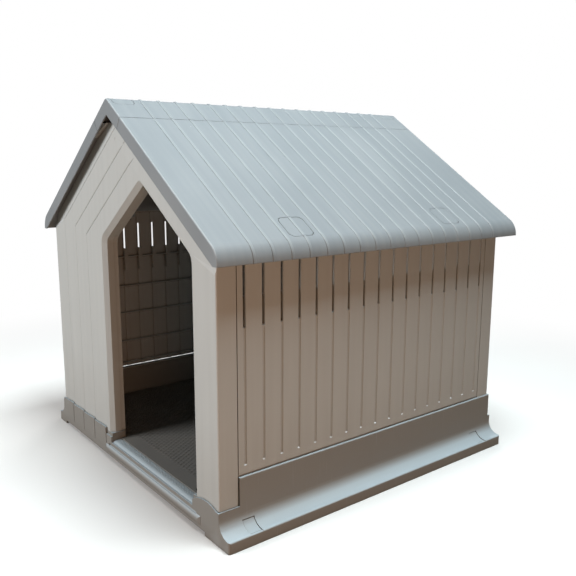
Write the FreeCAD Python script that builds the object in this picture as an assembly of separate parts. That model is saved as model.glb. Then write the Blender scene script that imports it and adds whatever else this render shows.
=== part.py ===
"""Knock-down moulded-plastic livestock hutch: a base tray, four wall panels, a two-panel roof with a
ridge cap, press latches and fasteners. Millimetres, +Z up, front (doorway) towards -Y, origin on the
ground under the middle of the roof."""
import FreeCAD, Part
import math
import os

V = FreeCAD.Vector

# ---- cabin: outside faces of the walls ----
cabin_width = 800.0
cabin_length = 828.0
sheet = 2.5                    # moulded wall thickness of every panel
column_return = 43.0           # front and rear walls turn the corner by this much
seam_gap = 2.0                 # shadow gap beside a column
foot_gap = 4.0                 # shadow gap under a side panel
flange_depth = 15.0            # joining flanges inside the cabin
corner_round = 4.0

# ---- roof ----
roof_pitch = 33.5              # degrees
roof_overhang_side = 34.0
roof_overhang_front = 18.0
roof_overhang_rear = 34.0
eave_height = 546.0            # lower edge of the roof skirt
eave_drop = 25.7               # roof plane carried on to the skirt, down to the lower edge
eave_radius = 45.0
ridge_radius = 12.0
roof_edge_round = 3.0
fascia_depth = 30.0            # square to the slope
cap_reach = 80.0               # ridge cap, down each slope
cap_gap = 0.2                  # between the cap and the lap flanges under it
roof_seam = 1.0
lap_start = 36.0               # flange of a roof panel under the ridge cap
lap_end = 100.0

# ---- beads on the roof and grooves in the side panels share one pitch ----
board_pitch = 44.1
bead_width = 6.5
bead_height = 1.6
bead_clear_end = 60.0          # plain strip kept at each end of the roof
groove_round = 3.4             # radius of a groove's section and of its foot
groove_depth = 2.8
vent_width = 6.0
groove_clear_end = 8.0         # from the last groove to the panel's edge
groove_foot = 16.0             # from the panel's lower edge to the grooves
vent_start = 420.0             # deep pocket starts
vent_open = 480.0              # slot goes right through from here
vent_top = 552.0
pocket_depth = 12.0
rib_levels = (142.0, 207.0, 291.0, 370.0, 454.0)
rib_depth = 12.0

# ---- doorway ----
door_width = 396.0
door_to_corner = 92.5          # from the doorway to the cabin's right side
door_shoulder = 546.0
door_shoulder_round = 20.0
door_apex_round = 8.0
door_edge = 10.0               # chamfer round the doorway's front edge
door_ring = 14.0               # thickness of the moulded ring round the doorway
door_reveal = 25.0
door_inner_step = 3.0
door_inner_depth = 12.0

# ---- front boards ----
front_board = 71.0
last_board = 27.5              # from the last line to the doorway
board_rise = 60.0              # height between neighbouring sloped boards
first_board_drop = 64.0        # first sloped line under the roof plane
rake_bevel = 10.0              # the outer sloped board leans back by this much on the left
rake_bevel_right = 5.0
rake_hook = 30.0               # the leaning boards' foot drops by this towards the cabin's corner
rake_hook_rise = 25.0
right_bevel_margin = 3.0
wall_head_gap = 1.0            # walls stay clear of the roof by this
wall_apex_cut = 51.0           # the wall's point stops this far under the roof's ridge

# ---- base tray ----
tray_overhang_end = 4.0        # front face in front of the cabin
tray_overhang_rear = 11.0
riser_proud = 3.0              # riser face outside the wall face
riser_round = 3.0
riser_width = 18.5
riser_height = 128.0
front_seat = 69.0              # front wall and its corners stand lower
flare = 35.5                   # lip outside the riser
lip_height = 24.0
cove_radius = 30.0
deck_height = 46.0
collar_height = 76.0
collar_step = 4.0
collar_gap = 0.4
tab_proud = 1.0                # each board end of the collar stands out by this at its right side
tab_round = 4.0
foot_raise = 8.0
foot_right = 88.0
foot_left = 48.0
tray_corner_round = 5.0
curb_depth = 34.0
curb_lap = 3.0                 # the curb stands this far into the doorway as a ledge
tray_rib_spacing = 128.0
bead_rod = 14.0                # radius of the front bead
bead_proud = 4.0
bead_level = 25.0
bead_past_door = 28.0
sill_height = 50.0
sill_depth = 24.0
sill_round = 12.0
sill_gap = 3.0

# ---- lift-out floor ----
floor_clearance = 3.0
floor_top = 52.5
floor_rib = 3.5
floor_rib_width = 2.0
floor_rib_spacing = 95.0
finger_hole = 7.0

# ---- eave latches (hinged press plates on the slopes) ----
eave_latch_centre = 222.0
eave_latch_width = 61.0
eave_latch_rise = 84.46        # up the slope from the roof's lower edge to the hinge side
eave_latch_length = 59.0
latch_round = 12.0
latch_gap = 1.0
pin_radius = 2.0
pin_clearance = 0.1
pin_inset = 5.0
pin_depth = 8.0
knuckle_radius = 4.5
boss_length = 9.0
tongue_setback = 28.0          # tongue inside the cabin's wall face
tongue_thickness = 3.5
tongue_width = 24.0
tongue_nose = 3.5
keeper_drop = 14.0
keeper_clearance = 1.0
latch_notch = 17.0             # side panel's head is lowered under each latch
latch_notch_margin = 8.0

# ---- ridge latches (press buttons in the ridge cap) ----
ridge_latch_length = 50.0
ridge_latch_inset_front = 9.0  # from the roof's front edge
ridge_latch_inset_rear = 15.0
ridge_latch_reach = 27.0
ridge_latch_round = 8.0
ridge_latch_gap = 0.6
ridge_latch_lip = 3.0
ridge_stem = 16.0

# ---- base catches (plugs snapped through the coves, a little sunk) ----
catch_inset = 62.0             # from the cabin's ends to each catch's middle
catch_width = 27.0
catch_angle = 62.0             # degrees up the cove from the lip
catch_sunk = 1.2
catch_gap = 0.8
catch_corner = 4.0
catch_lip = 3.0

# ---- screws ----
screw_radius = 2.4
screw_clearance = 0.1
screw_head_radius = 5.0
screw_head_height = 3.2
screw_length = 12.0
cap_boss_radius = 5.0
cap_washer_radius = 7.5
cap_screw_reach = 58.0
cap_screw_inset = 200.0        # from each end of the roof to the outer cap screws
screw_edge = 60.0

# ---- worked-out places ----
half_x = cabin_width / 2
half_y = cabin_length / 2
roof_half = half_x + roof_overhang_side
roof_front = -(half_y + roof_overhang_front)
roof_rear = half_y + roof_overhang_rear
roof_middle = (roof_front + roof_rear) / 2
slope_rad = math.radians(roof_pitch)
slope = math.tan(slope_rad)
cos_p = math.cos(slope_rad)
sin_p = math.sin(slope_rad)
ridge_z = eave_height + eave_drop + roof_half * slope
eave_latch_start = roof_half / cos_p - eave_latch_rise
door_right = half_x - door_to_corner
door_left = door_right - door_width
door_mid = (door_left + door_right) / 2
door_apex = door_shoulder + slope * door_width / 2
seam_y = half_y - column_return
catch_centre = half_y - catch_inset
riser_x = half_x + riser_proud
riser_in = riser_x - riser_width
lip_x = riser_x + flare
cap_sheet = sheet - cap_gap
tray_front = -(half_y + tray_overhang_end)
tray_rear = half_y + tray_overhang_rear
panel_in = half_x - sheet
head_depth = 2 * sheet + wall_head_gap
panel_top = ridge_z - head_depth / cos_p - slope * half_x


# ---------------------------------------------------------------- helpers
def box(x0, x1, y0, y1, z0, z1):
    """Solid between two corners."""
    return Part.makeBox(x1 - x0, y1 - y0, z1 - z0, V(x0, y0, z0))


def on_xz(u, v):
    return V(u, 0, v)


def on_xy(u, v):
    return V(u, v, 0)


def on_yz(u, v):
    return V(0, u, v)


def outline(corners, place):
    """Closed face through corners (u, v) or (u, v, radius); a radius rounds that corner."""
    count = len(corners)
    edges = []
    last = None
    first = None
    for i in range(count):
        here = V(corners[i][0], corners[i][1], 0)
        before = V(corners[i - 1][0], corners[i - 1][1], 0)
        after = V(corners[(i + 1) % count][0], corners[(i + 1) % count][1], 0)
        radius = corners[i][2] if len(corners[i]) > 2 else 0
        if radius > 0:
            into = (before - here).normalize()
            out = (after - here).normalize()
            half = into.getAngle(out) / 2
            reach = radius / math.tan(half)
            middle = (into + out).normalize()
            start = here + into * reach
            end = here + out * reach
            top = here + middle * (radius / math.sin(half) - radius)
        else:
            start = end = here
        if last is not None and (start - last).Length > 1e-6:
            edges.append(Part.LineSegment(place(last.x, last.y), place(start.x, start.y)).toShape())
        if radius > 0:
            bend = Part.Arc(place(start.x, start.y), place(top.x, top.y), place(end.x, end.y))
            edges.append(bend.toShape())
        if first is None:
            first = start
        last = end
    if (first - last).Length > 1e-6:
        edges.append(Part.LineSegment(place(last.x, last.y), place(first.x, first.y)).toShape())
    return Part.Face(Part.Wire(edges))


def along_y(corners, y0, y1):
    """Outline in X and Z, carried from y0 to y1."""
    solid = outline(corners, on_xz).extrude(V(0, y1 - y0, 0))
    solid.translate(V(0, y0, 0))
    return solid


def along_x(corners, x0, x1):
    """Outline in Y and Z, carried from x0 to x1."""
    solid = outline(corners, on_yz).extrude(V(x1 - x0, 0, 0))
    solid.translate(V(x0, 0, 0))
    return solid


def along_z(corners, z0, z1):
    """Outline in X and Y, carried from z0 to z1."""
    solid = outline(corners, on_xy).extrude(V(0, 0, z1 - z0))
    solid.translate(V(0, 0, z0))
    return solid


def rod(radius, start, axis, length):
    return Part.makeCylinder(radius, length, V(*start), V(*axis))


def rectangle(u0, u1, v0, v1, radius=0):
    return [(u0, v0, radius), (u1, v0, radius), (u1, v1, radius), (u0, v1, radius)]


def mirrored(shape):
    """The same piece for the other side of the hutch."""
    return shape.mirror(V(0, 0, 0), V(1, 0, 0))


def turned(shape):
    """The same piece at the rear, turned half round."""
    copy = shape.copy()
    copy.rotate(V(0, 0, 0), V(0, 0, 1), 180)
    return copy


def on_slope(shape):
    """Local X runs down the right slope from the ridge line, local Z stands out of it."""
    copy = shape.copy()
    copy.rotate(V(0, 0, 0), V(0, 1, 0), roof_pitch)
    copy.translate(V(0, 0, ridge_z))
    return copy


def slope_point(reach, depth):
    """X and Z of a point this far down the right slope and this deep under it."""
    return reach * cos_p - depth * sin_p, ridge_z - reach * sin_p - depth * cos_p


def places(half_length, pitch, clear):
    """Evenly pitched places either side of the middle that stay clear of both ends."""
    each_side = int((half_length - clear) / pitch + 1e-6)
    return [pitch * i for i in range(-each_side, each_side + 1)]


def save(name, shape):
    """One STEP file per named piece, all its solids as one shape, with the roof's middle at Y = 0."""
    solids = shape.Solids
    result = solids[0] if len(solids) == 1 else Part.makeCompound(solids)
    result = result.copy()
    result.translate(V(0, -roof_middle, 0))
    result.exportStep(os.path.join("parts", name + ".step"))


# ---------------------------------------------------------------- roof
def roof_outline(depth):
    """The whole roof's section, this deep under its outer surface."""
    side = roof_half - depth
    top = ridge_z - depth / cos_p
    corner = top - side * slope
    bend = eave_radius - depth
    peak = max(ridge_radius - depth, 1.0)
    return [(-side, eave_height), (side, eave_height), (side, corner, bend), (0, top, peak),
            (-side, corner, bend)]


def slope_side(reach, far):
    """Everything past this reach down the right slope, or everything nearer the ridge on both slopes."""
    out_x, out_z = slope_point(reach, -60)
    in_x, in_z = slope_point(reach, 200)
    if far:
        wide = roof_half * 2
        low = eave_height - 50
        return [(out_x, out_z), (in_x, in_z), (in_x, low), (wide, low), (wide, out_z)]
    top = ridge_z + 80
    return [(-out_x, out_z), (-out_x, top), (out_x, top), (out_x, out_z), (in_x, in_z), (-in_x, in_z)]


def roof_block(inner):
    """Hollow roof moulding over both slopes, with end fascias, before it is parted at the seams."""
    block = along_y(roof_outline(0), roof_front, roof_rear)
    rims = []
    for edge in block.Edges:
        low = edge.BoundBox
        at_end = low.YLength < 0.01
        at_foot = low.ZMax < eave_height + 0.01
        if at_end and not at_foot:
            rims.append(edge)
    block = block.makeFillet(roof_edge_round, rims)
    hollow = roof_outline(inner)
    hollow[0] = (hollow[0][0], eave_height - 1)
    hollow[1] = (hollow[1][0], eave_height - 1)
    block = block.cut(along_y(hollow, roof_front + sheet, roof_rear - sheet))
    mouth_top = ridge_z - fascia_depth / cos_p
    mouth_half = (mouth_top - eave_height + 1) / slope
    mouth = [(-mouth_half, eave_height - 1), (mouth_half, eave_height - 1), (0, mouth_top, door_apex_round)]
    return block.cut(along_y(mouth, roof_front - 1, roof_rear + 1))


def roof_bead():
    """One raised bead over the whole section, with rounded shoulders, centred on Y = 0."""
    outer = along_y(roof_outline(-bead_height), -bead_width / 2, bead_width / 2)
    crests = []
    for edge in outer.Edges:
        size = edge.BoundBox
        if size.YLength < 0.01 and size.ZMax > eave_height + 0.01:
            crests.append(edge)
    outer = outer.makeFillet(bead_height - 0.1, crests)
    inner = roof_outline(1.0)
    inner[0] = (inner[0][0], eave_height - 1)
    inner[1] = (inner[1][0], eave_height - 1)
    return outer.cut(along_y(inner, -bead_width, bead_width))


def all_beads():
    """Copies of the bead at every board line of the roof."""
    bead = roof_bead()
    beads = []
    for y in places(min(-roof_front, roof_rear), board_pitch, bead_clear_end):
        copy = bead.copy()
        copy.translate(V(0, y, 0))
        beads.append(copy)
    return beads


def eave_window(y, gap):
    """Rounded opening of an eave latch, cut square to the slope; gap below zero gives the plate in it."""
    corners = rectangle(eave_latch_start - gap, eave_latch_start + eave_latch_length + gap,
                        y - eave_latch_width / 2 - gap, y + eave_latch_width / 2 + gap, latch_round)
    return on_slope(along_z(corners, -sheet - 1, bead_height + 3))


def pin_place():
    """Reach and depth of the latch pin's axis on the slope."""
    return eave_latch_start + pin_inset, pin_depth


def roof_panel(beads):
    """Right roof panel: sheet, eave skirt, fascias, beads, lap flange and the latch hinge bosses."""
    seam = cap_reach + roof_seam / 2
    past_seam = along_y(slope_side(seam, True), roof_front - 5, roof_rear + 5)
    panel = roof_block(sheet).common(past_seam)
    panel = panel.fuse([bead.common(past_seam) for bead in beads])
    lap_front = roof_front + sheet + 0.5
    lap_rear = roof_rear - sheet - 0.5
    panel = panel.fuse(on_slope(box(lap_start, lap_end, lap_front, lap_rear, -2 * sheet, -sheet)))
    reach, depth = pin_place()
    for y in (-eave_latch_centre, eave_latch_centre):
        panel = panel.cut(eave_window(y, 0))
        for side in (-1, 1):
            start = y + side * (eave_latch_width / 2 + latch_gap)
            end = start + side * boss_length
            boss = box(reach - knuckle_radius, reach + knuckle_radius, min(start, end), max(start, end),
                       -depth - knuckle_radius, -sheet)
            panel = panel.fuse(on_slope(boss))
    for y in (-eave_latch_centre, eave_latch_centre):
        length = eave_latch_width + 2 * (latch_gap + boss_length)
        panel = panel.cut(on_slope(rod(pin_radius, (reach, y - length / 2, -depth), (0, 1, 0), length)))
    for y in cap_screw_places():
        hole = rod(cap_boss_radius + 0.3, (cap_screw_reach, y, -3 * sheet), (0, 0, 1), 3 * sheet)
        panel = panel.cut(on_slope(hole))
    return panel.removeSplitter()


def cap_screw_places():
    """Four places along the roof."""
    reach = (roof_rear - roof_front) / 2 - cap_screw_inset
    return [roof_middle + reach * part for part in (-1, -1 / 3, 1 / 3, 1)]


def ridge_latch_ends():
    """Front and rear edge of each ridge latch."""
    front = roof_front + ridge_latch_inset_front
    rear = roof_rear - ridge_latch_inset_rear
    return (front, front + ridge_latch_length), (rear - ridge_latch_length, rear)


def ridge_window(y0, y1, gap):
    """Straight-down opening of a ridge latch, larger than the button by gap."""
    half = ridge_latch_reach * cos_p + gap
    plan = rectangle(-half, half, y0 - gap, y1 + gap, ridge_latch_round)
    return along_z(plan, ridge_z - 60, ridge_z + 20)


def ridge_cap(beads):
    """Saddle moulding over both roof panels, with screw bosses and a window at each end."""
    near = along_y(slope_side(cap_reach - roof_seam / 2, False), roof_front - 5, roof_rear + 5)
    cap = roof_block(cap_sheet).common(near)
    cap = cap.fuse([bead.common(near) for bead in beads])
    for y in cap_screw_places():
        boss = rod(cap_boss_radius, (cap_screw_reach, y, -2 * sheet), (0, 0, 1), 2 * sheet - cap_sheet / 2)
        pilot = rod(screw_radius, (cap_screw_reach, y, -2 * sheet), (0, 0, 1), 2 * sheet - 1.2)
        boss = on_slope(boss.cut(pilot))
        pilot = on_slope(pilot)
        cap = cap.fuse([boss, mirrored(boss)]).cut([pilot, mirrored(pilot)])
    for y0, y1 in ridge_latch_ends():
        cap = cap.cut(ridge_window(y0, y1, 0))
    return cap.removeSplitter()


def cap_screws():
    """Washer-head screws that pull the cap's bosses down on the two lap flanges."""
    screws = []
    for y in cap_screw_places():
        seat = -2 * sheet
        head = rod(cap_washer_radius, (cap_screw_reach, y, seat - 2.2), (0, 0, 1), 2.2)
        shank = rod(screw_radius - screw_clearance, (cap_screw_reach, y, seat), (0, 0, 1), -seat - 1.4)
        cross = box(cap_screw_reach - 3, cap_screw_reach + 3, y - 0.6, y + 0.6, seat - 3, seat - 1)
        screw = on_slope(head.fuse(shank).cut(cross))
        screws += [screw, mirrored(screw)]
    return Part.makeCompound(screws)


def ridge_latch(y0, y1):
    """Press button: saddle plate flush with the cap, a lip that holds it under the cap, and a stem."""
    shell = along_y(roof_outline(0), y0 - 9, y1 + 9)
    shell = shell.cut(along_y(roof_outline(cap_sheet + 0.4), y0 - 9, y1 + 9))
    plate = shell.common(ridge_window(y0, y1, -ridge_latch_gap))
    under = along_y(roof_outline(cap_sheet + 0.2), y0 - 9, y1 + 9)
    under = under.cut(along_y(roof_outline(cap_sheet + 2.0), y0 - 9, y1 + 9))
    lip = under.common(ridge_window(y0, y1, ridge_latch_lip))
    mid = (y0 + y1) / 2
    top = ridge_z - (cap_sheet + 1.0) / cos_p - 4
    stem = box(-ridge_stem / 2, ridge_stem / 2, mid - 4, mid + 4, ridge_z - 32, top)
    return plate.fuse([lip, stem]).removeSplitter()


def eave_latch(y, beads):
    """Press plate with its bead, a knuckle on the hinge pin, and a tongue down inside the wall."""
    reach, depth = pin_place()
    plate = roof_block(sheet).common(eave_window(y, -latch_gap))
    crest = [bead.common(eave_window(y, -latch_gap)) for bead in beads]
    crest = [piece for piece in crest if piece.Volume > 1]
    half = eave_latch_width / 2 - latch_gap
    knuckle = rod(knuckle_radius, (reach, y - half, -depth), (0, 1, 0), 2 * half)
    neck = half - latch_round
    web = box(reach - knuckle_radius + 1, reach + knuckle_radius, y - neck, y + neck, -depth, -sheet + 0.5)
    hinge = on_slope(knuckle.fuse(web))
    x1 = half_x - tongue_setback
    x0 = x1 - tongue_thickness
    tip = panel_top - keeper_drop - 12
    root = slope_point(0, sheet)[1] - slope * x1
    tongue = box(x0, x1, y - tongue_width / 2, y + tongue_width / 2, tip, root)
    nose = rod(tongue_nose, (x1, y - tongue_width / 2, tip + tongue_nose), (0, 1, 0), tongue_width)
    latch = plate.fuse(crest + [hinge, tongue, nose])
    bore = rod(pin_radius + pin_clearance, (reach, y - half - 1, -depth), (0, 1, 0), 2 * half + 2)
    return latch.cut(on_slope(bore)).removeSplitter()


def eave_latch_pins():
    """One steel pin per eave latch, held in the roof panel's bosses."""
    reach, depth = pin_place()
    length = eave_latch_width + 2 * (latch_gap + boss_length)
    pins = []
    for y in (-eave_latch_centre, eave_latch_centre):
        pin = on_slope(rod(pin_radius, (reach, y - length / 2, -depth), (0, 1, 0), length))
        pins += [pin, mirrored(pin)]
    return Part.makeCompound(pins)


# ---------------------------------------------------------------- walls
def wall_head(depth):
    """Section under the roof that a gable wall fills, cut off below the ridge."""
    top = ridge_z - depth / cos_p
    cut_z = ridge_z - wall_apex_cut
    cut_x = (top - cut_z) / slope
    side_z = top - half_x * slope
    return [(half_x, side_z), (cut_x, cut_z, 6), (-cut_x, cut_z, 6), (-half_x, side_z)]


def wall_screw_levels(foot):
    room = panel_top - foot - 2 * screw_edge
    return [foot + screw_edge + room * i / 2 for i in range(3)]


def gable_shell(foot):
    """Front-facing gable wall with its two corner returns, flanges and stiffening ribs."""
    face = [(-half_x, foot), (half_x, foot)] + wall_head(head_depth)
    solid = along_y(face, -half_y, -seam_y)
    corners = [edge for edge in solid.Edges if is_front_corner(edge)]
    solid = solid.makeFillet(corner_round, corners)
    room = [(-panel_in, foot - 1), (panel_in, foot - 1)] + inset_head()
    shell = solid.cut(along_y(room, -half_y + sheet, -seam_y + 1))
    side_flange = box(panel_in - flange_depth, panel_in, -seam_y - sheet, -seam_y, foot, panel_top - sheet)
    foot_flange = box(-panel_in, panel_in, -half_y + sheet, -half_y + 2 * flange_depth, foot, foot + sheet)
    head = along_y(face, -half_y + sheet, -half_y + rib_depth)
    head = head.cut(along_y(lowered_head(2 * sheet), -half_y, -half_y + rib_depth + 1))
    ribs = []
    for level in rib_levels[1:] + (vent_top,):
        rib = box(-panel_in, panel_in, -half_y + sheet, -half_y + rib_depth - 2, level, level + sheet)
        ribs.append(rib)
    return shell.fuse([side_flange, mirrored(side_flange), foot_flange, head] + ribs)


def is_front_corner(edge):
    """Upright outer corner edge at the wall's face."""
    size = edge.BoundBox
    upright = size.XLength < 0.01 and size.YLength < 0.01
    return upright and abs(abs(size.XMin) - half_x) < 0.01 and size.YMax < -half_y + 0.01


def inset_head():
    """Room behind the gable's sheet, one sheet thickness in from the head."""
    top = ridge_z - (head_depth + sheet) / cos_p
    cut_z = ridge_z - wall_apex_cut - sheet
    cut_x = (top - cut_z) / slope
    side_z = top - panel_in * slope
    return [(panel_in, side_z), (cut_x, cut_z), (-cut_x, cut_z), (-panel_in, side_z)]


def lowered_head(thickness):
    """Everything below a band of this thickness along the head."""
    top = ridge_z - (head_depth + thickness) / cos_p
    cut_z = ridge_z - wall_apex_cut - thickness
    cut_x = (top - cut_z) / slope
    side = half_x + 1
    low = -1.0
    return [(-side, low), (side, low), (side, top - side * slope), (cut_x, cut_z), (-cut_x, cut_z),
            (-side, top - side * slope)]


def doorway(grow, foot):
    """Pointed opening, widened by grow on every side."""
    left = door_left - grow
    right = door_right + grow
    apex = door_apex + grow / cos_p
    shoulder = apex - slope * (right - left) / 2
    bend = door_shoulder_round + grow
    return [(left, foot), (right, foot), (right, shoulder, bend), (door_mid, apex, door_apex_round + grow),
            (left, shoulder, bend)]


def wedge(x0, z0, x1, z1, rise, lean):
    """Wedge in front of the wall: starts on the line x0,z0 to x1,z1 and leans back fully at rise above it."""
    turn = math.degrees(math.atan2(z1 - z0, x1 - x0))
    far = 4 * rise
    back = -half_y + lean
    section = [(-half_y - 1, 0), (-half_y, 0), (back, rise), (back, far), (-half_y - 1, far)]
    body = along_x(section, -cabin_width, cabin_width)
    body.rotate(V(0, 0, 0), V(0, 1, 0), -turn)
    body.translate(V(x0, 0, z0))
    return body


def vee_line(x0, z0, x1, z1, size):
    """Square bar laid on edge in the wall's face; cutting it leaves a V groove."""
    run = math.hypot(x1 - x0, z1 - z0)
    turn = math.degrees(math.atan2(z1 - z0, x1 - x0))
    bar = box(0, run, -size / 2, size / 2, -size / 2, size / 2)
    bar.rotate(V(0, 0, 0), V(1, 0, 0), 45)
    bar.rotate(V(0, 0, 0), V(0, 1, 0), -turn)
    bar.translate(V(x0, -half_y, z0))
    return bar


def sloped_line(drop):
    """Where a line this far under the roof plane meets the underside of the far fascia."""
    meet = (drop - fascia_depth / cos_p) / (2 * slope)
    return meet, ridge_z - drop + slope * meet


def front_board_lines():
    """Left edge of each front board, from the corner to the doorway's ring."""
    edge = door_left - last_board
    count = int((edge + half_x) / front_board + 0.5)
    return [edge - front_board * (count - 1 - i) for i in range(count - 1)]


def front_wall():
    """Wall with the pointed doorway, upright boards that bend to follow the roof, and a leaning rake."""
    foot = front_seat
    wall = gable_shell(foot)
    ring = along_y(doorway(door_ring, foot), -half_y, -half_y + door_reveal)
    step = along_y(doorway(door_inner_step + sheet, foot), -half_y + door_reveal,
                   -half_y + door_reveal + door_inner_depth)
    wall = wall.fuse([ring, step, rake_backing()])
    wall = wall.cut(along_y(doorway(0, foot - 1), -half_y - 1, -half_y + door_reveal + 0.5))
    wall = wall.cut(along_y(doorway(door_inner_step, foot - 1), -half_y + door_reveal, -seam_y + 1))
    rim = [edge for edge in wall.Edges if is_door_edge(edge)]
    wall = wall.makeChamfer(door_edge, rim)
    channel = along_y(doorway(door_ring - sheet, foot + sheet), -half_y + door_edge + 1,
                      -half_y + door_reveal - sheet)
    channel = channel.cut(along_y(doorway(sheet, foot), -half_y, -half_y + door_reveal))
    wall = wall.cut(channel)
    first = first_board_drop
    lines = front_board_lines()
    bend = ridge_z - first + slope * lines[0]
    rake = ridge_z - first
    left = wedge(-half_x, rake - slope * half_x, 0, rake, rake_rise(first), rake_bevel)
    left = left.common(wedge(-half_x, bend - rake_hook, lines[0], bend, rake_hook_rise, rake_bevel))
    left = left.common(box(-half_x - 1, 0, -half_y - 2, 0, 0, ridge_z))
    drop = right_drop()
    rake = ridge_z - drop
    right = wedge(0, rake, half_x, rake - slope * half_x, rake_rise(drop), rake_bevel_right)
    corner = door_right + door_edge
    corner_z = rake - slope * corner
    hook = wedge(corner, corner_z, half_x, corner_z - rake_hook, rake_hook_rise, rake_bevel_right)
    right = right.common(hook).common(box(0, half_x + 1, -half_y - 2, 0, 0, ridge_z))
    wall = wall.cut([left, right])
    cuts = []
    for i, x in enumerate(lines):
        drop = first + board_rise * i
        z = ridge_z - drop + slope * x
        top_x, top_z = sloped_line(drop)
        cuts.append(vee_line(x, z, top_x, top_z, 2.4))
        cuts.append(vee_line(x, foot, x, z, 1.1))
    wall = wall.cut(cuts)
    for x in base_screw_front():
        wall = wall.cut(rod(screw_radius, (x, base_screw_y(), foot - 1), (0, 0, 1), sheet + 2))
    return drilled(wall, foot).removeSplitter()


def right_drop():
    """The right-hand rake starts just outside the doorway's rounded edge."""
    edge = door_edge + right_bevel_margin
    return ridge_z - (door_apex + edge / cos_p) - slope * door_mid


def rake_rise(drop):
    return drop * cos_p - head_depth


def rake_backing():
    """Thicker wall behind the leaning outer boards."""
    drop = right_drop()
    face = [(-half_x, panel_top - 60), (half_x, panel_top - 60)] + wall_head(head_depth)
    band = along_y(face, -half_y + sheet, -half_y + sheet + rake_bevel)
    top = ridge_z - drop - sheet
    side = half_x + 1
    low = [(-side, 0), (side, 0), (side, top - side * slope), (0, top), (-side, top - side * slope)]
    return band.cut(along_y(low, -half_y, -half_y + 40))


def is_door_edge(edge):
    """Edge of the doorway in the wall's front face."""
    size = edge.BoundBox
    if size.YMax > -half_y + 0.01 or size.YMin < -half_y - 0.01:
        return False
    inside_x = size.XMin > door_left - 0.1 and size.XMax < door_right + 0.1
    return inside_x and size.ZMax < door_apex + 0.1 and size.ZMax > front_seat + 1


def drilled(wall, foot):
    """Clearance holes for the screws through the two side flanges."""
    holes = []
    for z in wall_screw_levels(riser_height):
        for x in (-screw_x(), screw_x()):
            holes.append(rod(screw_radius, (x, -seam_y - 2 * sheet, z), (0, 1, 0), 4 * sheet))
    return wall.cut(holes)


def screw_x():
    return panel_in - flange_depth / 2


def base_screw_y():
    return -half_y + sheet + flange_depth * 0.6


def base_screw_front():
    inner = door_left - door_ring - 20
    outer = -half_x + flange_depth + 25
    return [outer, (outer + inner) / 2, inner, (door_right + door_ring + panel_in) / 2 - 10]


def base_screw_rear():
    reach = half_x - flange_depth - 40
    return [-reach, -reach / 3, reach / 3, reach]


def base_screw_side():
    """Between grooves: near both ends and beside the middle."""
    count = int((seam_y - screw_edge) / board_pitch)
    reach = (count - 0.5) * board_pitch
    return [-reach, board_pitch / 2, reach]


def rear_wall():
    """Closed gable on the rear riser, with upright boards and two sloped boards under each rake."""
    foot = riser_height
    wall = gable_shell(foot)
    cuts = []
    drop = first_board_drop + board_rise
    for x in places(half_x, front_board, front_board / 2):
        top = ridge_z - drop - slope * abs(x)
        cuts.append(vee_line(x, foot + groove_foot, x, top, 2.0))
    for level in (first_board_drop, drop):
        z = ridge_z - level
        low = z - slope * half_x
        cuts.append(vee_line(-half_x, low, 0, z, 2.0))
        cuts.append(vee_line(0, z, half_x, low, 2.0))
    wall = wall.cut(cuts)
    for x in base_screw_rear():
        wall = wall.cut(rod(screw_radius, (x, base_screw_y(), foot - 1), (0, 0, 1), sheet + 2))
    return turned(drilled(wall, foot).removeSplitter())


def side_panel():
    """Right side panel: sheet, grooves with rounded feet, vent slots, inner ribs and flanges."""
    foot = riser_height
    low = foot + foot_gap
    end = seam_y - seam_gap
    top = panel_top - sheet
    sheet_end = seam_y - sheet
    pieces = [box(panel_in - flange_depth, panel_in, -seam_y, -sheet_end, foot, top),
              box(panel_in - flange_depth, panel_in, sheet_end, seam_y, foot, top),
              box(panel_in - flange_depth, panel_in, -seam_y, seam_y, foot, foot + sheet),
              box(panel_in - flange_depth, panel_in, -seam_y, seam_y, top - sheet, top)]
    for level in rib_levels:
        pieces.append(box(panel_in - rib_depth, panel_in, -seam_y, seam_y, level, level + sheet))
    lines = places(end, board_pitch, groove_clear_end)
    for y in lines:
        pieces.append(box(panel_in - sheet, panel_in, y - 2 * sheet, y + 2 * sheet, low, top))
        back = panel_in - pocket_depth
        pieces.append(box(back, panel_in, y - 2 * sheet, y + 2 * sheet, vent_start - sheet, vent_open))
    panel = box(panel_in, half_x, -end, end, low, top).fuse(pieces)
    half = vent_width / 2
    groove_x = half_x + groove_round - groove_depth
    groove_z = low + groove_foot + groove_round
    cuts = []
    for y in lines:
        cuts.append(rod(groove_round, (groove_x, y, groove_z), (0, 0, 1), vent_top - groove_z))
        cuts.append(Part.makeSphere(groove_round, V(groove_x, y, groove_z)))
        cuts.append(along_x(rectangle(y - half, y + half, vent_start, vent_top, half - 0.1),
                            half_x - pocket_depth, half_x + 1))
        cuts.append(along_x(rectangle(y - half, y + half, vent_open, vent_top, half - 0.1),
                            half_x - 2 * pocket_depth, half_x + 1))
    for y in (-eave_latch_centre, eave_latch_centre):
        reach = eave_latch_width / 2 + latch_notch_margin
        cuts.append(box(panel_in - 2 * flange_depth, half_x + 1, y - reach, y + reach,
                        top - latch_notch, top + 1))
    for y in base_screw_side():
        cuts.append(rod(screw_radius, (screw_x(), y, foot - 1), (0, 0, 1), sheet + 2))
    for z in wall_screw_levels(foot):
        for y in (-seam_y - sheet, seam_y - 2 * sheet):
            cuts.append(rod(screw_radius, (screw_x(), y, z), (0, 1, 0), 3 * sheet))
    panel = panel.cut(cuts)
    keepers = []
    keeper_x = half_x - tongue_setback + tongue_nose + keeper_clearance
    for y in (-eave_latch_centre, eave_latch_centre):
        z = top - latch_notch - sheet
        half = tongue_width / 2
        keepers.append(box(keeper_x, panel_in + 0.5, y - half, y + half, z, z + sheet))
    return panel.fuse(keepers).removeSplitter()


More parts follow.
